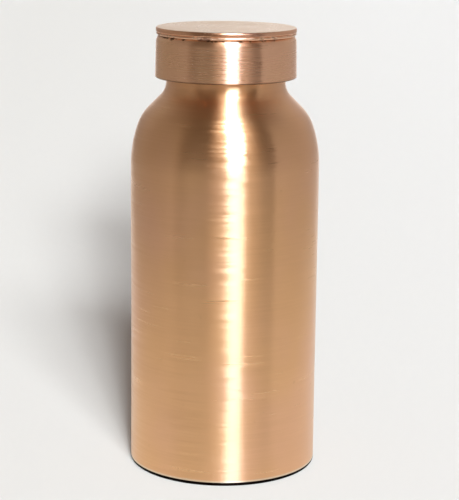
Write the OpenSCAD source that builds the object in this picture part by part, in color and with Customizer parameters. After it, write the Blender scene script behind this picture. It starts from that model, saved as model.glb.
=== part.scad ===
// Copper water bottle with a screw lid.
// The frame is the table under the bottle: origin at the centre of the foot, +Z up, millimetres.

/* [Bottle] */
// Height of the closed bottle, from the table to the top of the lid
overall_h = 200; // [170:1:260]
// Outside diameter of the straight wall
body_d = 85; // [70:0.5:110]
// Thickness of the drawn copper wall
wall_t = 0.8; // [0.6:0.1:1.2]
// Outside radius of the foot edge
foot_round = 1.5; // [1.3:0.1:4]
// Width of the foot edge that is turned in under the base
foot_w = 4.5; // [3:0.5:8]

/* [Shoulder and neck] */
// Radius of the long arc where the shoulder leaves the wall
shoulder_long_r = 52; // [30:1:60]
// Slope at the end of the long arc, in degrees from upright
shoulder_long_angle = 19.4; // [10:0.1:24]
// Radius of the tighter arc above it
shoulder_tight_r = 21.2; // [10:0.1:26]
// Steepest slope of the shoulder, in degrees from upright
shoulder_slope = 45; // [35:1:55]
// Radius of the hollow between the shoulder and the neck
neck_hollow_r = 8.5; // [4:0.5:12]
// Outside diameter of the neck
neck_d = 53.5; // [44:0.5:60]
// Length of straight neck that shows under the closed lid
neck_show = 2.2; // [1:0.1:8]
// Length of neck that the closed lid covers
neck_cover = 1; // [0.6:0.1:3]

/* [Base pan] */
// Thickness of the base pan
pan_t = 0.8; // [0.6:0.1:1.2]
// Height of the pan's upturned flange
pan_h = 6; // [4:0.5:12]
// Outside radius of the pan's corner
pan_round = 2; // [1.5:0.1:4]
// Flat margin between the pan's edge and the stiffening panel pressed up in it
panel_margin = 12.6; // [6:0.2:20]
// Height that the panel is pressed up
panel_rise = 2.5; // [1:0.5:5]
// Width of the panel's sloping edge
panel_edge = 3; // [2:0.5:8]

/* [Neck collar and thread] */
// Wall of the collar between the mouth and the thread's root
collar_t = 1.4; // [1:0.1:3]
// Height of the collar's flange that sits on the neck
collar_flange_h = 1; // [0.6:0.1:2]
// Length of the collar's plain end inside the neck
spigot_h = 3; // [2:0.1:3.2]
// Pitch of the single-start thread
thread_pitch = 4; // [3.5:0.1:5]
// Height of the rounded thread above its root
thread_depth = 1.15; // [0.8:0.05:1.2]
// Turns of thread on the collar and in the lid
thread_turns = 2.25; // [1.5:0.25:2.25]
// Gap between the collar and the liner, threads included
thread_play = 0.45; // [0.35:0.05:0.55]
// How far the rounded lip stands above the thread
lip_h = 1.4; // [1:0.1:3]

/* [Lid] */
// Height of the lid
lid_h = 22.3; // [20:0.1:32]
// How far the drum stands out from the neck
lid_step = 4.55; // [4:0.05:8]
// How far the top disc stands out from the drum
disc_step = 0.05; // [0:0.05:1]
// Thickness of the top disc
disc_t = 2.1; // [1.5:0.1:3]
// Radius of the disc's upper edge
disc_round = 0.9; // [0.3:0.1:1.4]
// How much wider the drum is at its open edge, in diameter
drum_flare = 0.6; // [0:0.1:1.5]
// Radius of the drum's upper corner
drum_round = 4.5; // [2:0.1:6]
// Width of the drum's turned-in top
drum_top_w = 11.3; // [7:0.1:16]
// Thickness of the lid's copper sheet
lid_t = 0.8; // [0.6:0.1:1.2]
// Height of the closing ring above the drum's open edge
ring_up = 0.6; // [0.3:0.1:2]
// Thickness of the closing ring
ring_t = 0.8; // [0.6:0.1:1.2]
// Radius of the braze bead under the disc
bead_r = 0.8; // [0.5:0.1:1.2]

/* [Gasket] */
// Thickness of the silicone gasket
gasket_t = 2; // [1.5:0.1:3]
// How far the gasket reaches in over the mouth
gasket_lap = 1.7; // [0.5:0.1:4]

/* [Fits] */
// Gap that a brazed joint fills
braze_gap = 0.1; // [0.05:0.01:0.15]
// Gap round the pressed-in closing ring
press_gap = 0.05; // [0.02:0.01:0.1]
// Gap on each face of the gasket when the lid is closed
seal_gap = 0.05; // [0.02:0.01:0.1]
// Gap between the gasket's edge and the lid's liner
gasket_play = 0.3; // [0.2:0.05:0.5]

/* [Hidden] */

copper = [0.72, 0.49, 0.34];
copper_inside = [0.78, 0.52, 0.38];
braze_metal = [0.80, 0.72, 0.55];
silicone = [0.92, 0.91, 0.88];

$fn = 96;
arc_step = 5;
// Steps round one turn of the thread, and rows along one pitch of it
thread_steps = 36;
thread_rows = 10;
// Share of a turn over which a thread's end rises out of its root
thread_run_in = 0.12;
// How far the lip and the flange reach over the threaded part's ends, how far the lip stands out
// from the thread's root, and the flat left on top of it
lip_sink = 0.5;
lip_out = 0.15;
lip_flat = 0.1;
edge_round = 0.35;
braze_fillet = 1;

body_r = body_d / 2;
neck_r = neck_d / 2;

// Heights, from the top of the lid down
lid_z = overall_h - lid_h;
disc_z = overall_h - disc_t;
drum_top_z = disc_z - braze_gap;
liner_top_z = drum_top_z - lid_t;
gasket_top_z = liner_top_z - lid_t - seal_gap;
gasket_z = gasket_top_z - gasket_t;
collar_top_z = gasket_z - seal_gap;
neck_top_z = lid_z + neck_cover;
neck_z = lid_z - neck_show;
flange_top_z = neck_top_z + collar_flange_h;

// The shoulder is the long arc, the tight arc, a straight slope and the hollow. Where the wall
// and the neck are too close for all of it, the slope's angle gives way first.
shoulder_in = body_r - neck_r;
long_in = shoulder_long_r * (1 - cos(shoulder_long_angle));
free_cos = (long_in + shoulder_tight_r * cos(shoulder_long_angle) + neck_hollow_r - shoulder_in)
    / (shoulder_tight_r + neck_hollow_r);
slope = min(shoulder_slope, acos(free_cos));
tight_in = shoulder_tight_r * (cos(shoulder_long_angle) - cos(slope));
hollow_in = neck_hollow_r * (1 - cos(slope));
straight_in = max(0, shoulder_in - long_in - tight_in - hollow_in);
shoulder_h = shoulder_long_r * sin(shoulder_long_angle)
    + shoulder_tight_r * (sin(slope) - sin(shoulder_long_angle))
    + straight_in / tan(slope) + neck_hollow_r * sin(slope);
shoulder_z = neck_z - shoulder_h;

// The base pan lies on the turned-in foot edge.
pan_z = wall_t;
pan_r = body_r - wall_t - braze_gap;
panel_r = pan_r - panel_margin;

// The collar's thread comes out as far as the neck, and the liner passes both.
thread_root_r = neck_r - thread_depth;
mouth_r = thread_root_r - collar_t;
liner_in_r = neck_r + thread_play;
liner_r = liner_in_r + lid_t;
spigot_r = neck_r - wall_t - braze_gap;
// Where the collar's thread starts. Its last turn ends under the lip.
thread_z = collar_top_z - lip_h - thread_pitch * (thread_turns + 0.5);
// The liner's thread lies half a pitch up from it, in its hollows.
liner_thread_z = thread_z + thread_pitch / 2;

drum_r = neck_r + lid_step;
disc_r = drum_r + disc_step;
drum_open_r = drum_r + drum_flare / 2;
drum_hole_r = drum_r - drum_top_w;
drum_corner_z = drum_top_z - drum_round;
// The liner's upper corner is cut away where the drum's corner curves in over it.
liner_chamfer = max(edge_round, liner_r - (drum_r - drum_round));
ring_z = lid_z + ring_up;
function drum_r_at(z) = drum_open_r
    - (drum_open_r - drum_r) * (z - lid_z) / (drum_corner_z - lid_z);

// Points of an arc round [x, z], from one angle to another
function arc(x, z, r, from, to) =
    let (steps = max(2, ceil(abs(to - from) / arc_step)))
    [for (i = [0:steps]) let (a = from + (to - from) * i / steps) [x + r * cos(a), z + r * sin(a)]];

function reversed(points) = [for (i = [len(points) - 1:-1:0]) points[i]];

// The bottle's outline from the foot edge to the neck's rim, moved inwards by t
function wall_line(t) = concat(
    [[body_r - foot_w, t]],
    arc(body_r - foot_round, foot_round, foot_round - t, -90, 0),
    arc(body_r - shoulder_long_r, shoulder_z, shoulder_long_r - t, 0, shoulder_long_angle),
    arc(body_r - long_in - shoulder_tight_r * cos(shoulder_long_angle),
        shoulder_z + (shoulder_long_r - shoulder_tight_r) * sin(shoulder_long_angle),
        shoulder_tight_r - t, shoulder_long_angle, slope),
    arc(neck_r + neck_hollow_r, neck_z, neck_hollow_r + t, 180 + slope, 180),
    [[neck_r - t, neck_top_z]]);

// The pan's underside from its centre to the top of its flange
pan_under = concat(
    [[0, pan_z + panel_rise], [panel_r - panel_edge, pan_z + panel_rise], [panel_r, pan_z]],
    arc(pan_r - pan_round, pan_z + pan_round, pan_round, -90, 0),
    [[pan_r, pan_z + pan_h]]);
pan_upper = concat(
    [[0, pan_z + panel_rise + pan_t], [panel_r - panel_edge, pan_z + panel_rise + pan_t],
        [panel_r, pan_z + pan_t]],
    arc(pan_r - pan_round, pan_z + pan_round, pan_round - pan_t, -90, 0),
    [[pan_r - pan_t, pan_z + pan_h]]);

// The drum's outline from its open edge to the hole in its top, moved inwards by t
function drum_line(t) = concat(
    [[drum_open_r - t, lid_z + (t > 0 ? 0 : edge_round)]],
    arc(drum_r - drum_round, drum_corner_z, drum_round - t, 0, 90),
    [[drum_hole_r, drum_top_z - t]]);

// How far a thread that starts at z0 has risen, from 0 to 1, at angle a and height z. It's a
// rounded ridge that climbs one pitch a turn, and fades at both ends.
function thread_rise(a, z, z0) =
    let (turn = (z - z0) / thread_pitch - a / 360, along = round(turn) + a / 360,
        fade = min(1, along / thread_run_in, (thread_turns - along) / thread_run_in))
    max(0, fade) * (1 + cos(360 * turn)) / 2;

// A solid plug from low to high, round the axis. Its radius is plain_r, and plain_r + depth where
// the thread that starts at z0 is at its crest.
module threaded_plug(low, high, z0, plain_r, depth) {
    first = z0 - thread_pitch / 2;
    count = ceil((thread_turns + 1) * thread_rows);
    heights = concat([low], [for (k = [0:count]) first + thread_pitch * k / thread_rows], [high]);
    rows = len(heights);
    points = [for (z = heights, i = [0:thread_steps - 1])
        let (a = 360 * i / thread_steps, r = plain_r + depth * thread_rise(a, z, z0))
        [r * cos(a), r * sin(a), z]];
    bottom = [for (i = [0:thread_steps - 1]) i];
    top = [for (i = [thread_steps - 1:-1:0]) (rows - 1) * thread_steps + i];
    around = [for (k = [0:rows - 2], i = [0:thread_steps - 1])
        let (here = k * thread_steps + i, next = k * thread_steps + (i + 1) % thread_steps)
        each [[here, here + thread_steps, next + thread_steps], [here, next + thread_steps, next]]];
    polyhedron(points, concat([bottom, top], around), convexity = 6);
}

// Drawn copper wall with its shoulder, plain neck and turned-in foot edge
module bottle_wall() {
    color(copper) rotate_extrude() polygon(concat(wall_line(0), reversed(wall_line(wall_t))));
}

// Pressed base that lies on the foot edge, with its flange up against the wall
module base_pan() {
    color(copper_inside) rotate_extrude() polygon(concat(pan_under, reversed(pan_upper)));
}

// Filler metal between the pan's flange and the wall, with a fillet over the flange's edge
module base_braze() {
    top = pan_z + pan_h;
    color(braze_metal) rotate_extrude()
        polygon([[pan_r, pan_z + pan_round], [body_r - wall_t, pan_z + pan_round],
            [body_r - wall_t, top + braze_fillet], [pan_r - pan_t, top], [pan_r, top]]);
}

// Turned collar: a spigot in the neck, a flange on the neck's rim, the thread and the rounded lip
module neck_collar() {
    low = neck_top_z - spigot_h;
    lip_z = collar_top_z - lip_h;
    lip_out_r = thread_root_r + lip_out;
    lip_r = (lip_out_r - mouth_r - lip_flat) / 2;
    color(copper_inside) difference() {
        union() {
            rotate_extrude() polygon([[0, low], [spigot_r, low], [spigot_r, neck_top_z],
                [neck_r, neck_top_z], [neck_r, flange_top_z], [0, flange_top_z]]);
            threaded_plug(flange_top_z - lip_sink, lip_z + lip_sink,
                thread_z, thread_root_r, thread_depth);
            rotate_extrude() polygon(concat([[0, lip_z], [lip_out_r, lip_z]],
                arc(lip_out_r - lip_r, collar_top_z - lip_r, lip_r, 0, 90), [[0, collar_top_z]]));
        }
        rotate_extrude() polygon(concat(
            [[0, low - 1], [mouth_r, low - 1]],
            arc(mouth_r + lip_r, collar_top_z - lip_r, lip_r, 180, 90),
            [[mouth_r + lip_r, collar_top_z + 1], [0, collar_top_z + 1]]));
    }
}

// Filler metal between the collar's spigot and the neck
module collar_braze() {
    low = neck_top_z - spigot_h;
    color(braze_metal) rotate_extrude()
        polygon([[spigot_r, low], [neck_r - wall_t, low - braze_fillet / 2],
            [neck_r - wall_t, neck_top_z], [spigot_r, neck_top_z]]);
}

// Outer drum of the lid, its top turned in to carry the disc
module lid_drum() {
    color(copper) rotate_extrude() polygon(concat(
        [[drum_open_r - edge_round, lid_z]], drum_line(0), reversed(drum_line(lid_t))));
}

// Flat top disc
module lid_disc() {
    color(copper) rotate_extrude() polygon(concat(
        [[0, disc_z]],
        arc(disc_r - edge_round, disc_z + edge_round, edge_round, -90, 0),
        arc(disc_r - disc_round, overall_h - disc_round, disc_round, 0, 90),
        [[0, overall_h]]));
}

// Braze bead in the notch between the disc and the drum's corner, and the film that feeds it
module lid_braze() {
    bead_in = drum_r - drum_round;
    bead_x = disc_r - bead_r - edge_round - braze_gap;
    color(braze_metal) rotate_extrude() difference() {
        union() {
            translate([bead_x, disc_z - bead_r]) circle(bead_r, $fn = 32);
            translate([drum_hole_r, drum_top_z]) square([bead_x - drum_hole_r, braze_gap]);
            translate([bead_in, disc_z - bead_r]) square([bead_x - bead_in, bead_r]);
        }
        polygon(concat([[0, lid_z]], drum_line(0), [[0, drum_top_z]]));
    }
}

// Threaded liner that screws on the collar, closed at the top under the drum
module lid_liner() {
    color(copper_inside) difference() {
        rotate_extrude() polygon([[0, ring_z], [liner_r, ring_z],
            [liner_r, liner_top_z - liner_chamfer], [liner_r - liner_chamfer, liner_top_z],
            [0, liner_top_z]]);
        threaded_plug(ring_z - 1, liner_top_z - lid_t, liner_thread_z, liner_in_r, -thread_depth);
    }
}

// Flat ring that closes the space between the liner and the drum
module lid_ring() {
    color(copper_inside) rotate_extrude() polygon([
        [liner_r + press_gap, ring_z], [drum_r_at(ring_z) - lid_t - press_gap, ring_z],
        [drum_r_at(ring_z + ring_t) - lid_t - press_gap, ring_z + ring_t],
        [liner_r + press_gap, ring_z + ring_t]]);
}

// Silicone gasket that the collar's lip seals against
module lid_gasket() {
    color(silicone) translate([0, 0, gasket_z]) difference() {
        cylinder(h = gasket_t, r = liner_in_r - gasket_play);
        translate([0, 0, -1]) cylinder(h = gasket_t + 2, r = mouth_r - gasket_lap);
    }
}

bottle_wall();
base_pan();
base_braze();
neck_collar();
collar_braze();
lid_drum();
lid_disc();
lid_braze();
lid_liner();
lid_ring();
lid_gasket();
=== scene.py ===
"""A copper water bottle with a screw lid, in metres, +Z up, standing on the floor at the origin."""
import math

import bpy
from mathutils import Matrix, Vector, noise


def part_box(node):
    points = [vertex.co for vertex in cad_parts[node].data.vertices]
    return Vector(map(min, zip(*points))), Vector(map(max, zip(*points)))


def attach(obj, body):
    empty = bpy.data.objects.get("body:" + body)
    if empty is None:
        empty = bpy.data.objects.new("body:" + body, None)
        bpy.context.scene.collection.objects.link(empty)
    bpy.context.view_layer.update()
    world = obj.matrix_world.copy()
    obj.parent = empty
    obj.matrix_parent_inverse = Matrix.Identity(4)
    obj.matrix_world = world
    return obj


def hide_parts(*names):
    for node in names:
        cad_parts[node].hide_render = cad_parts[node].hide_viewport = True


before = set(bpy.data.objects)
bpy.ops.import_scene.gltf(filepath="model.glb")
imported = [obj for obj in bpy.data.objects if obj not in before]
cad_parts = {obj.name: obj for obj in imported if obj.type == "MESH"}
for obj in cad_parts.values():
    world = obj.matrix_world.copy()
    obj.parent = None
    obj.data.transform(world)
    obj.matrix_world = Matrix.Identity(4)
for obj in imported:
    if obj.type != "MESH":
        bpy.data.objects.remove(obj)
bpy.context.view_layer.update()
MM = 0.001


# The bottle's wall is one sheet of copper, drawn and spun into a straight wall, a round shoulder and
# a plain neck, with its foot turned in under the base. It's brushed round and round on a lathe, and
# left bare, so the brushing draws every light out into a tall bright band.
wall_t = 0.8 * MM
foot_w = 4.5 * MM
foot_round = 1.5 * MM
long_r = 52 * MM
long_angle = 19.4
tight_r = 21.2 * MM
slope = 45
hollow_r = 8.5 * MM
neck_r = 26.75 * MM
lid_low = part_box("lid_drum")[0].z
neck_low = lid_low - 2.2 * MM
neck_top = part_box("bottle_wall")[1].z
body_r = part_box("bottle_wall")[1].x
arc_step = 3
row_gap = 2 * MM


def arc(x, z, radius, start, end, step=arc_step):
    """Points of an arc round (x, z) from one angle to another, in degrees."""
    count = max(2, math.ceil(abs(end - start) / step))
    turns = [math.radians(start + (end - start) * i / count) for i in range(count + 1)]
    return [(x + radius * math.cos(a), z + radius * math.sin(a)) for a in turns]


def with_rows(outline, gap):
    """The same outline, with points added so that none are further apart than gap."""
    rows = [outline[0]]
    for (x0, z0), (x1, z1) in zip(outline, outline[1:]):
        count = max(1, math.ceil(math.hypot(x1 - x0, z1 - z0) / gap))
        rows += [(x0 + (x1 - x0) * i / count, z0 + (z1 - z0) * i / count)
                 for i in range(1, count + 1)]
    return rows


def lathe(name, outline, material, gap=row_gap, segments=240, shift=None, sharp=38):
    """A solid turned from an outline that runs anticlockwise round its section, the axis on its
    left. Its UV map holds the turn and the distance along the outline, in metres."""
    closed = outline[0][0] > 0 or outline[-1][0] > 0
    rows = with_rows(outline + outline[:1] if closed else outline, gap)
    along = [0]
    for (x0, z0), (x1, z1) in zip(rows, rows[1:]):
        along.append(along[-1] + math.hypot(x1 - x0, z1 - z0))
    if closed:
        rows.pop()
    points = []
    first = []
    for x, z in rows:
        first.append(len(points))
        for i in range(segments if x > 0 else 1):
            turn = 2 * math.pi * i / segments
            r = x + (shift(turn, x, z) if shift and x > 0 else 0)
            points.append((r * math.cos(turn), r * math.sin(turn), z))
    faces = []
    spots = []
    for k in range(len(along) - 1):
        low, high = k, (k + 1) % len(rows)
        for i in range(segments):
            j = (i + 1) % segments
            corners = [(low, i, i), (low, j, i + 1), (high, j, i + 1), (high, i, i)]
            if rows[low][0] == 0:
                corners = [(low, 0, i + 0.5)] + corners[2:]
            elif rows[high][0] == 0:
                corners = corners[:2] + [(high, 0, i + 0.5)]
            faces.append([first[row] + step for row, step, turn in corners])
            spots += [(turn / segments, along[k] if row == low else along[k + 1])
                      for row, step, turn in corners]
    mesh = bpy.data.meshes.new(name)
    mesh.from_pydata(points, [], faces)
    layer = mesh.uv_layers.new(name="turned")
    for corner, spot in zip(layer.data, spots):
        corner.uv = spot
    mesh.shade_smooth()
    mesh.set_sharp_from_angle(angle=math.radians(sharp))
    mesh.materials.append(material)
    piece = bpy.data.objects.new(name, mesh)
    bpy.context.scene.collection.objects.link(piece)
    return piece


class Wire:
    """A value on its way through a tree of nodes. Arithmetic on it adds Math nodes."""

    def __init__(self, tree, socket=None):
        self.tree = tree
        self.socket = socket

    def node(self, kind, settings=(), inputs=(), output=0):
        """Adds a node of any kind: its settings first, then its sockets' values or links."""
        made = self.tree.nodes.new(kind)
        for name, value in dict(settings).items():
            setattr(made, name, value)
        for name, value in dict(inputs).items():
            if isinstance(value, Wire):
                self.tree.links.new(value.socket, made.inputs[name])
            else:
                made.inputs[name].default_value = value
        return Wire(self.tree, made.outputs[output] if made.outputs else None)

    def maths(self, operation, first, *others):
        values = dict(enumerate((first, *others)))
        return self.node("ShaderNodeMath", {"operation": operation}, values)

    def __add__(self, other):
        return self.maths("ADD", self, other)

    def __sub__(self, other):
        return self.maths("SUBTRACT", self, other)

    def __rsub__(self, other):
        return self.maths("SUBTRACT", other, self)

    def __mul__(self, other):
        return self.maths("MULTIPLY", self, other)

    __radd__ = __add__
    __rmul__ = __mul__

    def axis(self, number):
        """One number of a vector: 0 for its X, 1 for its Y and 2 for its Z."""
        return self.node("ShaderNodeSeparateXYZ", (), {0: self}, output=number)

    def vector(self, operation, *others, **sizes):
        """Vector maths, on this vector and the others."""
        inputs = {**dict(enumerate((self, *others))), **sizes}
        return self.node("ShaderNodeVectorMath", {"operation": operation}, inputs)

    def step(self, low, high):
        """0 below low, 1 above high, and a smooth rise between them, or a fall if high is lower."""
        ends = {"Value": self, "From Min": min(low, high), "From Max": max(low, high),
                "To Min": 0.0 if low < high else 1.0, "To Max": 1.0 if low < high else 0.0}
        return self.node("ShaderNodeMapRange", {"interpolation_type": "SMOOTHSTEP"}, ends)


def tint(share, colour, other):
    """A colour that goes from colour to other as share goes from 0 to 1."""
    ends = {0: share}
    for socket, value in ((6, colour), (7, other)):
        ends[socket] = value if isinstance(value, Wire) else (*value, 1)
    return share.node("ShaderNodeMix", {"data_type": "RGBA"}, ends, output=2)


def turned_place(start):
    """Where a point is on a turned piece: its x and y, and its distance along the outline."""
    place = start.node("ShaderNodeTexCoord", output=3)
    along = start.node("ShaderNodeUVMap", {"uv_map": "turned"})
    return start.node("ShaderNodeCombineXYZ", (), {
        "X": place.axis(0), "Y": place.axis(1), "Z": along.axis(1)})


def height_up(start):
    """How high a point is above the table, with the lid screwed down."""
    return start.node("ShaderNodeTexCoord", output=3).axis(2)


def grain(place, across, along, detail=3, rough=0.55):
    """Noise from -1 to 1 with so many marks a metre round the piece and so many along it."""
    scaled = place.vector("MULTIPLY", (across, across, along))
    marks = {"Vector": scaled, "Scale": 1.0, "Detail": detail, "Roughness": rough}
    return place.node("ShaderNodeTexNoise", (), marks) * 2 - 1


def finish_with(name, paint):
    """A material whose Principled sockets are what paint returns."""
    material = bpy.data.materials.new(name)
    material.use_nodes = True
    material.node_tree.nodes.clear()
    start = Wire(material.node_tree)
    shader = start.node("ShaderNodeBsdfPrincipled", (), paint(start))
    start.node("ShaderNodeOutputMaterial", (), {"Surface": shader})
    return material


def combed(place, lean):
    """The surface's normal, turned sideways round the axis by lean, so that each row of scratches
    shows a light a little to one side of its neighbours."""
    down = (0, 0, -1)
    ahead = place.vector("CROSS_PRODUCT", down).vector("NORMALIZE").vector("SCALE", Scale=lean)
    return place.node("ShaderNodeNewGeometry", output="Normal").vector("ADD", ahead).vector("NORMALIZE")


def brushed_copper(start, tone, pink, dark, gloss, brush=0.98, height=0.001 * MM, comb=0.058,
                   marks=0.16, extra=None):
    """Bare copper, brushed round the axis: long fine scratches, with pinker patches and small dark
    pits. brush is how far the brushing draws a light out, height how deep the scratches are, comb how
    far a row of them shifts a light, and marks how dark they are. extra adds the piece's own wear."""
    place = turned_place(start)
    streaks = grain(place, across=32, along=1150, detail=2)
    patches = grain(place, across=22, along=16, detail=2)
    bands = grain(place, across=9, along=150, detail=2)
    colour = tint((patches * 1.2 + 0.35).step(0, 1), tone, pink)
    pits = grain(place, across=260, along=260, detail=0).step(0.66, 0.8)
    colour = tint(pits * 0.3, colour, dark)
    colour = tint((streaks + bands * 0.5 + 0.4).step(-0.3, 1.1) * marks, colour, dark)
    rough = gloss + streaks * 0.06 + bands * 0.02
    if extra:
        colour, rough = extra(place, colour, rough)
    facing = combed(place, streaks * comb)
    bump = start.node("ShaderNodeBump", (), {"Height": streaks, "Strength": 1.0, "Distance": height,
                                             "Normal": facing})
    return {"Base Color": colour, "Roughness": rough, "Metallic": 1.0, "Normal": bump,
            "Anisotropic": brush, "Anisotropic Rotation": 0.25}


copper = (0.90, 0.525, 0.265)
pink_copper = (0.90, 0.52, 0.315)
brown_copper = (0.70, 0.39, 0.20)
# The next four values are painted light at the foot: a pale painted reflection of the table on its
# round edge, and a near-black painted contact shadow under it.
rim_sheen_copper = (0.93, 0.80, 0.62)
contact_shadow_black = (0.008, 0.004, 0.003)
contact_shadow_top = 1.9 * MM
rim_sheen_top = 3.1 * MM


def painted_foot_shadow_and_rim_sheen(place, colour, rough):
    """The foot's lower edge is painted nearly black, a painted contact shadow, up to a sharp line.
    Above the line a pale band is painted, a painted reflection of the table on the foot's round edge."""
    height = height_up(place)
    scale = height.step(contact_shadow_top, contact_shadow_top * 0.9)
    rim_sheen = height.step(rim_sheen_top, contact_shadow_top) * 0.7
    colour = tint(rim_sheen, colour, rim_sheen_copper)
    return tint(scale, colour, contact_shadow_black), rough + scale * 0.4


wall_copper = finish_with(
    "brushed_copper_wall",
    lambda start: brushed_copper(start, copper, pink_copper, brown_copper, 0.30, extra=painted_foot_shadow_and_rim_sheen))

shoulder_in = body_r - neck_r
slopes = [math.radians(a) for a in (long_angle, slope)]
long_in = long_r * (1 - math.cos(slopes[0]))
tight_in = tight_r * (math.cos(slopes[0]) - math.cos(slopes[1]))
hollow_in = hollow_r * (1 - math.cos(slopes[1]))
straight_in = shoulder_in - long_in - tight_in - hollow_in
shoulder_h = (long_r * math.sin(slopes[0]) + tight_r * (math.sin(slopes[1]) - math.sin(slopes[0]))
              + straight_in / math.tan(slopes[1]) + hollow_r * math.sin(slopes[1]))
shoulder_low = neck_low - shoulder_h


def wall_line(inset):
    """The bottle's outline from the foot edge to the neck's rim, moved inwards."""
    tight_x = body_r - long_in - tight_r * math.cos(slopes[0])
    tight_z = shoulder_low + (long_r - tight_r) * math.sin(slopes[0])
    foot = arc(body_r - foot_round, foot_round, foot_round - inset, -90, 0, 10)
    return ([(body_r - foot_w, inset)] + foot
            + arc(body_r - long_r, shoulder_low, long_r - inset, 0, long_angle, 1.5)
            + arc(tight_x, tight_z, tight_r - inset, long_angle, slope, 1.5)
            + arc(neck_r + hollow_r, neck_low, hollow_r + inset, 180 + slope, 180)
            + [(neck_r - inset, neck_top)])


wave_depth = 0.13 * MM
wave_inward = 0.6
waves_round = 3.2
waves_up = 22
ring_depth = 0.012 * MM
rings_round = 0.5
rings_up = 160
true_end = 20 * MM


def hand_spun(turn, r, z):
    """How far the spun wall is out of true: shallow waves, mostly inward, and the spinning tool's
    faint rings. Both fade out towards the foot and the neck, where other pieces fit."""
    wave = Vector((math.cos(turn) * waves_round, math.sin(turn) * waves_round, z * waves_up))
    ring = Vector((math.cos(turn) * rings_round, math.sin(turn) * rings_round, z * rings_up))
    middle = max(0, min(1, z / true_end, (neck_low - z) / true_end))
    return (wave_depth * (noise.noise(wave) - wave_inward) + ring_depth * noise.noise(ring)) * middle


wall = lathe("spun_wall", wall_line(0) + wall_line(wall_t)[::-1], wall_copper, shift=hand_spun)
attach(wall, "bottle")
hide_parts("bottle_wall")


# The base is a pressed copper pan that lies on the turned-in foot edge. A flat panel is pressed up in
# it, which keeps the bottle from rocking. Its brushing is left coarser and duller than the wall's.
pan_t = 0.8 * MM
pan_round = 2 * MM
panel_rise = 2.5 * MM
panel_edge = 3 * MM
panel_margin = 12.6 * MM
pan_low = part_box("base_pan")[0].z
pan_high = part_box("base_pan")[1].z
pan_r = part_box("base_pan")[1].x
panel_r = pan_r - panel_margin

pan_under = ([(0, pan_low + panel_rise), (panel_r - panel_edge, pan_low + panel_rise),
              (panel_r, pan_low)]
             + arc(pan_r - pan_round, pan_low + pan_round, pan_round, -90, 0, 10)
             + [(pan_r, pan_high)])
pan_upper = ([(0, pan_low + panel_rise + pan_t), (panel_r - panel_edge, pan_low + panel_rise + pan_t),
              (panel_r, pan_low + pan_t)]
             + arc(pan_r - pan_round, pan_low + pan_round, pan_round - pan_t, -90, 0, 10)
             + [(pan_r - pan_t, pan_high)])
inner_copper = finish_with(
    "plain_copper_inside",
    lambda start: brushed_copper(start, (0.84, 0.47, 0.29), (0.84, 0.45, 0.31), (0.5, 0.27, 0.16),
                                 0.40, brush=0.6))
pan = lathe("pressed_pan", pan_under + pan_upper[::-1], inner_copper)
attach(pan, "bottle")
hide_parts("base_pan")


# The pan is brazed into the wall all round. The filler metal is paler and yellower than the copper,
# and it freezes as a slightly lumpy bead, with brown scale where the flux burned off.
seed_shift = 0.37
wander_share = 0.4
bead_tree = bpy.data.node_groups.new("braze_bead", "GeometryNodeTree")


def bead_input(name, kind, value=None):
    """Adds a named input to the bead's tree and returns its identifier."""
    socket = bead_tree.interface.new_socket(name, in_out="INPUT", socket_type=kind)
    if value is not None:
        socket.default_value = value
    return socket.identifier


bead_sizes = {name: bead_input(name, "NodeSocketFloat", value) for name, value in (
    ("Ring Radius", 0.04), ("Height", 0.0), ("Bead Radius", 0.0006), ("Wander", 0.0001),
    ("Lumps", 0.15), ("Lumps Per Metre", 300.0))}
bead_sizes["Seed"] = bead_input("Seed", "NodeSocketInt", 0)
bead_sizes["Finish"] = bead_input("Finish", "NodeSocketMaterial")
bead_tree.interface.new_socket("Bead", in_out="OUTPUT", socket_type="NodeSocketGeometry")
bead_start = Wire(bead_tree)
bead_given = bead_tree.nodes.new("NodeGroupInput")
given = {socket.name: Wire(bead_tree, socket) for socket in bead_given.outputs if socket.name}
ring = bead_start.node("GeometryNodeCurvePrimitiveCircle", {"mode": "RADIUS"},
                       {"Resolution": 360, "Radius": given["Ring Radius"]})
spot = bead_start.node("GeometryNodeInputPosition").vector(
    "ADD", bead_start.node("ShaderNodeCombineXYZ", (), {"Z": given["Seed"] * seed_shift}))
wander = bead_start.node("ShaderNodeTexNoise", (), {
    "Vector": spot, "Scale": given["Lumps Per Metre"] * wander_share, "Detail": 1.0}, output=1)
wander = wander.vector("SUBTRACT", (0.5, 0.5, 0.5)).vector("SCALE", Scale=given["Wander"] * 2)
wander = wander.vector("ADD", bead_start.node("ShaderNodeCombineXYZ", (), {"Z": given["Height"]}))
ring = bead_start.node("GeometryNodeSetPosition", (), {"Geometry": ring, "Offset": wander})
lumps = bead_start.node("ShaderNodeTexNoise", (), {
    "Vector": spot, "Scale": given["Lumps Per Metre"], "Detail": 2.0})
ring = bead_start.node("GeometryNodeSetCurveRadius", (), {
    "Curve": ring, "Radius": (lumps * 2 - 1) * given["Lumps"] + 1})
section = bead_start.node("GeometryNodeCurvePrimitiveCircle", {"mode": "RADIUS"},
                          {"Resolution": 14, "Radius": given["Bead Radius"]})
bead = bead_start.node("GeometryNodeCurveToMesh", (), {"Curve": ring, "Profile Curve": section})
bead = bead_start.node("GeometryNodeSetShadeSmooth", (), {"Geometry": bead})
bead = bead_start.node("GeometryNodeRealizeInstances", (), {"Geometry": bead})
bead = bead_start.node("GeometryNodeSetMaterial", (),
                       {"Geometry": bead, "Material": given["Finish"]})
bead_start.node("NodeGroupOutput", (), {"Bead": bead})


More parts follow.
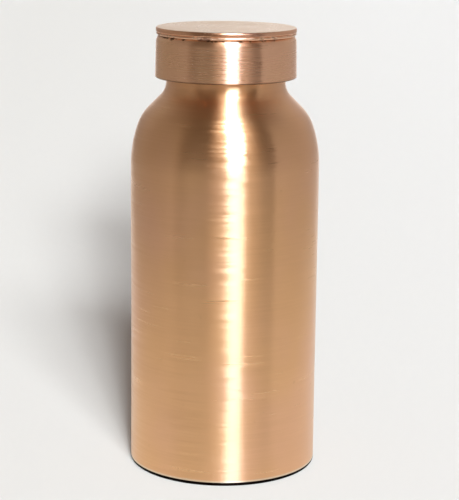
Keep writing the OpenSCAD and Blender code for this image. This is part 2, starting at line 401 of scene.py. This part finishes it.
def braze_bead(name, material, seed, **sizes):
    """A ring of braze, made by the bead's tree and turned into a plain mesh."""
    piece = bpy.data.objects.new(name, bpy.data.meshes.new(name))
    bpy.context.scene.collection.objects.link(piece)
    modifier = piece.modifiers.new("bead", "NODES")
    modifier.node_group = bead_tree
    for label, value in sizes.items():
        modifier[bead_sizes[label.replace("_", " ").title()]] = float(value)
    modifier[bead_sizes["Seed"]] = seed
    modifier[bead_sizes["Finish"]] = material
    bpy.context.view_layer.update()
    graph = bpy.context.evaluated_depsgraph_get()
    mesh = bpy.data.meshes.new_from_object(piece.evaluated_get(graph))
    piece.modifiers.clear()
    piece.data = mesh
    return piece


def braze(start):
    """Braze metal: pale gold where it flowed, brown and rough where the flux burned."""
    place = start.node("ShaderNodeTexCoord", output=3)
    scale = grain(place, across=420, along=420, detail=4, rough=0.6)
    spread = grain(place, across=90, along=90, detail=2)
    burned = (scale * 1.2 + spread * 1.4).step(0.05, 0.8)
    colour = tint(burned, (0.84, 0.53, 0.34), (0.13, 0.06, 0.035))
    bump = start.node("ShaderNodeBump", (), {"Height": scale, "Strength": 0.8, "Distance": 0.1 * MM})
    return {"Base Color": colour, "Roughness": 0.30 + burned * 0.35, "Metallic": 1.0 - burned * 0.4,
            "Normal": bump}


braze_metal = finish_with("braze_metal", braze)
base_bead_r = 0.55 * MM
base_bead = braze_bead("base_seam", braze_metal, 3, ring_radius=body_r - wall_t - base_bead_r * 0.8,
                       height=pan_high + base_bead_r * 0.6, bead_radius=base_bead_r,
                       wander=0.15 * MM, lumps=0.25)
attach(base_bead, "bottle")
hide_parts("base_braze")


# The neck's collar is turned from solid copper. Its plain end is brazed into the neck, its flange
# sits on the neck's rim, and above that come a coarse rounded thread and a round lip to drink from.
thread_pitch = 4 * MM
thread_depth = 1.15 * MM
thread_turns = 2.25
thread_run_in = 0.12
flange_h = 1 * MM
flange_step = 0.15 * MM
flange_round = 0.3 * MM
lip_h = 1.4 * MM
collar_t = 1.4 * MM
collar_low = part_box("neck_collar")[0].z
collar_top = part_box("neck_collar")[1].z
spigot_r = neck_r - wall_t - 0.1 * MM
root_r = neck_r - thread_depth
mouth_r = root_r - collar_t
lip_r = collar_t / 2
thread_low = collar_top - lip_h - thread_pitch * (thread_turns + 0.5)
thread_rows = 0.25 * MM
touch = 0.01 * MM


def thread_rise(turn, z, low):
    """How far a thread that starts at low has risen, from 0 to 1. It fades out at both ends."""
    here = (z - low) / thread_pitch - turn / (2 * math.pi)
    along = math.floor(here + 0.5) + turn / (2 * math.pi)
    fade = max(0, min(1, along / thread_run_in, (thread_turns - along) / thread_run_in))
    return fade * (1 + math.cos(2 * math.pi * here)) / 2


def male_thread(turn, r, z):
    """Cuts the thread on the collar's outside, between the flange and the lip."""
    threaded = r > root_r - touch and neck_top + flange_h < z < collar_top - lip_h
    return thread_depth * thread_rise(turn, z, thread_low) if threaded else 0


collar_line = ([(mouth_r, collar_low), (spigot_r, collar_low), (spigot_r, neck_top),
                (neck_r - flange_step, neck_top)]
               + arc(neck_r - flange_round, neck_top + flange_h - flange_round, flange_round, 0, 90, 30)
               + [(root_r, neck_top + flange_h + 2 * touch), (root_r, collar_top - lip_r)]
               + arc(root_r - lip_r, collar_top - lip_r, lip_r, 0, 180, 10))
collar = lathe("turned_collar", collar_line, inner_copper, gap=thread_rows, shift=male_thread)
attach(collar, "bottle")
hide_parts("neck_collar")


# The braze that holds the collar shows inside the neck, as a thin bead under the collar's end. It's
# the same filler metal as at the base, and is less lumpy.
neck_bead_r = 0.4 * MM
neck_bead = braze_bead("neck_seam", braze_metal, 8, ring_radius=neck_r - wall_t - neck_bead_r,
                       height=collar_low, bead_radius=neck_bead_r, wander=0.1 * MM, lumps=0.2)
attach(neck_bead, "bottle")
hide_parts("collar_braze")


# The lid's drum is a cup of copper sheet, spun with a round upper corner and brushed like the wall.
# Its top is turned in to carry the disc, and its open edge is a little wider and rubbed smooth.
lid_t = 0.8 * MM
drum_round = 4.5 * MM
drum_top_w = 11.3 * MM
drum_edge = 0.35 * MM
drum_oval = 0.012
edge_shade_height = 0.8 * MM
stain_reach = 3.4 * MM
stain_full = 0.6 * MM
heat_stain = (0.17, 0.075, 0.035)
edge_shade_colour = (0.16, 0.08, 0.045)
drum_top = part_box("lid_drum")[1].z
drum_open_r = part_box("lid_drum")[1].x
drum_r = drum_open_r - 0.3 * MM
drum_hole_r = drum_r - drum_top_w


def drum_line(inset):
    """The drum's outline from its open edge to the hole in its top, moved inwards."""
    edge = drum_edge if inset == 0 else 0
    corner = arc(drum_r - drum_round, drum_top - drum_round, drum_round - inset, 0, 90)
    return [(drum_open_r - inset, lid_low + edge)] + corner + [(drum_hole_r, drum_top - inset)]


def drum_stain_and_edge_shade(place, colour, rough):
    """Heat stain and specks of scale below the braze, on the drum's upper corner, and a dark band of
    painted shade along its open edge."""
    height = height_up(place)
    near = height.step(drum_top - stain_reach, drum_top - stain_full)
    specks = grain(place, across=520, along=700, detail=4, rough=0.65)
    clouds = grain(place, across=45, along=200, detail=2)
    stain = near.step(0, 0.4) * (near * 1.6 + specks * 1.5 + clouds * 1.6 - 0.9).step(0.05, 0.6)
    colour = tint(stain, colour, heat_stain)
    # The last tint is painted shade: the drum darkens along its open edge.
    return tint(height.step(lid_low + edge_shade_height, lid_low), colour, edge_shade_colour), rough + stain * 0.2


def out_of_round(turn, r, z):
    """The drum was closed in by hand, and is a little wider across one slant than the other."""
    return drum_oval * r * math.sin(2 * turn)


drum_copper = finish_with(
    "brushed_copper_drum",
    lambda start: brushed_copper(start, (0.95, 0.58, 0.33), (0.95, 0.56, 0.37), brown_copper, 0.28,
                                 comb=0.035, marks=0.04, extra=drum_stain_and_edge_shade))
drum = lathe("drum_shell", [(drum_open_r - drum_edge, lid_low)] + drum_line(0)
             + drum_line(lid_t)[::-1], drum_copper, gap=1 * MM, shift=out_of_round)
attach(drum, "lid")
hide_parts("lid_drum")


# A thick flat disc closes the lid's top. Its face is painted paler than the sides, a painted sheen of
# the bright light it faces, and it is dulled by handling; its rounded edge is polished bright.
disc_round = 0.9 * MM
disc_under_round = 0.35 * MM
face_rim = 0.25 * MM
face_full = 0.02 * MM
disc_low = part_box("lid_disc")[0].z
disc_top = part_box("lid_disc")[1].z
disc_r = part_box("lid_disc")[1].x


def face_sheen_and_wear(place, colour, rough):
    """The top face is painted paler, a painted sheen, with dull clouds where fingers and cloths have
    been.
    """
    height = height_up(place)
    face = height.step(disc_top - face_rim, disc_top - face_full)
    clouds = grain(place, across=70, along=70, detail=4, rough=0.6)
    # Painted sheen: the top face's colour is made paler than the copper of the sides.
    pale = tint(clouds.step(-0.5, 0.6), (0.82, 0.66, 0.49), (0.76, 0.57, 0.39))
    return tint(face, colour, pale), rough + face * (clouds * 0.08 + 0.04)


disc_copper = finish_with(
    "brushed_copper_disc",
    lambda start: brushed_copper(start, (0.90, 0.51, 0.30), (0.90, 0.52, 0.36), brown_copper, 0.25,
                                 brush=0.3, height=0.006 * MM, extra=face_sheen_and_wear))
disc_line = ([(0, disc_low)]
             + arc(disc_r - disc_under_round, disc_low + disc_under_round, disc_under_round, -90, 0, 15)
             + arc(disc_r - disc_round, disc_top - disc_round, disc_round, 0, 90, 10)
             + [(0, disc_top)])
disc = lathe("top_disc", disc_line, disc_copper)
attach(disc, "lid")
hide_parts("lid_disc")


# The disc is brazed on the drum, and the bead fills the notch between them all round. It's uneven,
# and left as it froze.
seam_r = 0.75 * MM
seam_x = disc_r - 0.95 * MM
seam = braze_bead("lid_seam", braze_metal, 5, ring_radius=seam_x, height=disc_low - seam_r * 0.95,
                  bead_radius=seam_r, wander=0.10 * MM, lumps=0.22)
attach(seam, "lid")
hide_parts("lid_braze")


# Inside the lid, a threaded copper liner screws on the collar. It's closed at the top, under the
# drum, and its upper corner is cut away where the drum's corner curves in over it.
thread_play = 0.45 * MM
liner_in_r = neck_r + thread_play
liner_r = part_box("lid_liner")[1].x
liner_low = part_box("lid_liner")[0].z
liner_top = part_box("lid_liner")[1].z
liner_chamfer = liner_r - (drum_r - drum_round)
roof = liner_top - lid_t


def female_thread(turn, r, z):
    """Cuts the thread in the liner, half a pitch up from the collar's."""
    threaded = abs(r - liner_in_r) < touch and z < roof
    return -thread_depth * thread_rise(turn, z, thread_low + thread_pitch / 2) if threaded else 0


liner_line = [(liner_in_r, liner_low), (liner_r, liner_low), (liner_r, liner_top - liner_chamfer),
              (liner_r - liner_chamfer, liner_top), (0, liner_top), (0, roof), (liner_in_r, roof)]
liner = lathe("threaded_liner", liner_line, inner_copper, gap=thread_rows, shift=female_thread)
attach(liner, "lid")
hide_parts("lid_liner")


# A flat copper ring is pressed in between the liner and the drum, just inside the lid's open edge,
# and closes the space between them.
ring_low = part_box("lid_ring")[0].z
ring_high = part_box("lid_ring")[1].z
ring_in_r = liner_r + 0.05 * MM
ring_out_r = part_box("lid_ring")[1].x
ring_edge = 0.12 * MM
closing_ring = lathe("closing_ring", [
    (ring_in_r, ring_low + ring_edge), (ring_in_r + ring_edge, ring_low),
    (ring_out_r - ring_edge, ring_low), (ring_out_r, ring_low + ring_edge),
    (ring_out_r, ring_high), (ring_in_r, ring_high)], inner_copper, gap=1 * MM)
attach(closing_ring, "lid")
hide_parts("lid_ring")


# The gasket is a flat ring of milky silicone that the lip presses into. The lip has left a shallow
# round mark in its underside.
gasket_low, gasket_high = (corner.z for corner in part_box("lid_gasket"))
gasket_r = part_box("lid_gasket")[1].x
gasket_hole_r = mouth_r - 1.7 * MM
gasket_edge = 0.3 * MM
mark_depth = 0.12 * MM
mark_r = root_r - lip_r


def silicone(start):
    """Milky rubber, a little yellowed, with a fine mould texture."""
    place = start.node("ShaderNodeTexCoord", output=3)
    clouds = grain(place, across=60, along=60)
    skin = grain(place, across=2500, along=2500, detail=2)
    bump = start.node("ShaderNodeBump", (), {"Height": skin, "Strength": 0.4, "Distance": 0.05 * MM})
    return {"Base Color": tint(clouds.step(-0.6, 0.6), (0.84, 0.83, 0.79), (0.80, 0.77, 0.70)),
            "Roughness": 0.42 + skin * 0.08, "Normal": bump, "Subsurface Weight": 0.3,
            "Subsurface Scale": 0.004}


gasket_line = ([(gasket_hole_r, gasket_low + gasket_edge)]
               + arc(gasket_hole_r + gasket_edge, gasket_low + gasket_edge, gasket_edge, 180, 270, 30)
               + [(mark_r + lip_r * math.cos(a), gasket_low + mark_depth * math.sin(a))
                  for a in (math.pi * (1 - i / 8) for i in range(9))]
               + arc(gasket_r - gasket_edge, gasket_low + gasket_edge, gasket_edge, -90, 0, 30)
               + arc(gasket_r - gasket_edge, gasket_high - gasket_edge, gasket_edge, 0, 90, 30)
               + arc(gasket_hole_r + gasket_edge, gasket_high - gasket_edge, gasket_edge, 90, 180, 30))
gasket = lathe("silicone_gasket", gasket_line, finish_with("milky_silicone", silicone))
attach(gasket, "seal")
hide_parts("lid_gasket")


# The bottle stands on a pale matt table that ends a little way in front of it and at each side, and
# runs back, getting wider, a long way behind. The camera sees none of its edges.
floor_front = -0.45
floor_middle = 0.3
floor_back = 4.5
floor_side = 0.36
floor_far_side = 1.1


def pale_paper(start):
    """Matt white board with the faintest mottle, painted a little darker and yellower towards its left
    end, a painted falloff of the light from the right.
    """
    place = start.node("ShaderNodeTexCoord", output=3)
    mottle = grain(place, across=30, along=30)
    # Painted shade: the board's colour darkens towards the left, away from the lamps.
    share = place.axis(0).step(-0.4, 0.4) + mottle * 0.05
    return {"Base Color": tint(share, (0.755, 0.75, 0.73), (0.82, 0.82, 0.815)),
            "Roughness": 0.9, "Specular IOR Level": 0.2}


floor_mesh = bpy.data.meshes.new("floor")
corners = [(floor_side, floor_front, 0), (floor_side, floor_middle, 0), (floor_far_side, floor_back, 0)]
corners += [(-x, y, z) for x, y, z in corners[::-1]]
floor_mesh.from_pydata(corners, [], [range(len(corners))])
floor_mesh.materials.append(finish_with("pale_board", pale_paper))
floor = bpy.data.objects.new("floor", floor_mesh)
bpy.context.scene.collection.objects.link(floor)


# The bottle is lit from the front by a tall lamp on the right of the camera, and by a window low down
# beside it. Three suns stand for what they give the table, with its shadow: how far each stands to
# the right and how high, how wide it is, and its power.
cool_white = (0.96, 0.99, 1.0)
for label, turn_right, rise_up, spread, power in (
        ("lamp", 17.4, 33.0, 13, 1.90), ("lamp_foot", 9.7, 18.0, 7, 3.03),
        ("window", 5.3, 13.6, 6, 4.69)):
    sun = bpy.data.lights.new(label, "SUN")
    sun.energy = power
    sun.angle = math.radians(spread)
    sun.color = cool_white
    lamp = bpy.data.objects.new(label, sun)
    lamp.matrix_world = (Matrix.Rotation(math.radians(turn_right), 4, "Z")
                         @ Matrix.Rotation(math.radians(90 - rise_up), 4, "X"))
    lamp.visible_glossy = False
    bpy.context.scene.collection.objects.link(lamp)


# The world holds what the metal mirrors. Round the camera it's a dark brown room, with the lamp's
# tall panel and a glow round it, pale boards at the sides, and a paler one far behind. Turns run to
# the right from the camera and rises up from the horizon, in degrees.
room = 0.14
room_colour = (1.0, 0.78, 0.66)
panel_turns = (4, 24)
panel_rises = (14, 74)
panel_blur = 2
panel_right_blur = 0.7
panel_top_blur = 8
panel_light = 19.0
panel_colour = (0.60, 0.76, 1.0)
glow_spread = 30
high_glow = 2.2
high_glow_fade = (5, 50)
low_glow = 0.4
low_glow_fade = (25, -10)
board_turns = (-60, 62)
left_board_blur = 8
right_board_blur = 1
board_fade = (70, 28)
left_board = 0.30
right_board = 0.42
board_colour = (1.0, 0.93, 0.90)
far_side_turns = (105, 130)
far_side_rises = (0, 12)
far_side_light = 0.07
backdrop_turns = (157, 173)
backdrop_fade = (50, 30)
backdrop = 0.64
pale_world = (0.87, 0.87, 0.855)
table_sky = (0.17, 0.13, 0.108)
glow_paleness = 0.2
pale_light = 0.25

world = bpy.data.worlds.new("studio")
world.use_nodes = True
world.node_tree.nodes.clear()
start = Wire(world.node_tree)
way = start.node("ShaderNodeTexCoord", output=0)
turn = start.maths("ARCTAN2", way.axis(0), way.axis(1) * -1) * (180 / math.pi)
either_turn = start.maths("ABSOLUTE", turn)
rise = start.maths("ARCSINE", way.axis(2)) * (180 / math.pi)
panel_left, panel_right = panel_turns
panel_low, panel_high = panel_rises
panel = (turn.step(panel_left - panel_blur, panel_left + panel_blur)
         * turn.step(panel_right + panel_right_blur, panel_right - panel_right_blur)
         * rise.step(panel_low - panel_blur, panel_low + panel_blur)
         * rise.step(panel_high + panel_top_blur, panel_high - panel_top_blur))
glow = (turn.step(panel_left - glow_spread, panel_left)
        * turn.step(panel_right + glow_spread, panel_right)
        * (rise.step(*high_glow_fade) * high_glow + rise.step(*low_glow_fade) * low_glow))
left_turn, right_turn = board_turns
boards = (turn.step(left_turn + left_board_blur, left_turn - left_board_blur) * (left_board - room)
          + turn.step(right_turn - right_board_blur, right_turn + right_board_blur)
          * (right_board - room))
boards = (boards * rise.step(*board_fade)
          + either_turn.step(*far_side_turns) * rise.step(*far_side_rises) * far_side_light)
behind = either_turn.step(*backdrop_turns) * rise.step(*backdrop_fade) * (backdrop - room)
shade = tint((boards + behind + glow * glow_paleness).step(0, pale_light), room_colour, board_colour)
mirrored = start.node("ShaderNodeBackground", (), {
    "Color": tint(panel.step(0, 0.5), shade, panel_colour),
    "Strength": room + boards + behind + panel * panel_light + glow})
seen, glossy, bounces = (start.node("ShaderNodeLightPath", output=name)
                         for name in ("Is Camera Ray", "Is Glossy Ray", "Diffuse Depth"))
plain = start.node("ShaderNodeBackground", (), {"Color": tint(seen, table_sky, pale_world)})
straight = glossy * (1 - bounces.step(0, 1))
mixed = start.node("ShaderNodeMixShader", (), {0: straight, 1: plain, 2: mirrored})
start.node("ShaderNodeOutputWorld", (), {"Surface": mixed})
bpy.context.scene.world = world


# The camera stands in front, a little above the lid, and looks slightly down. It leans by a fraction
# of a degree.
camera_place = (0.00245, -0.7686, 0.2665)
camera_pitch = 12.33
camera_lean = 0.64
lens = bpy.data.cameras.new("camera")
lens.sensor_width = 36
lens.sensor_fit = "AUTO"
lens.lens = 124.1
lens.clip_start = 0.05
lens.clip_end = 20
camera = bpy.data.objects.new("camera", lens)
camera.matrix_world = (Matrix.Translation(camera_place)
                       @ Matrix.Rotation(math.radians(90 - camera_pitch), 4, "X")
                       @ Matrix.Rotation(math.radians(camera_lean), 4, "Z"))
bpy.context.scene.collection.objects.link(camera)
bpy.context.scene.camera = camera
bpy.context.scene.view_settings.view_transform = "Standard"
bpy.context.scene.cycles.use_denoising = True
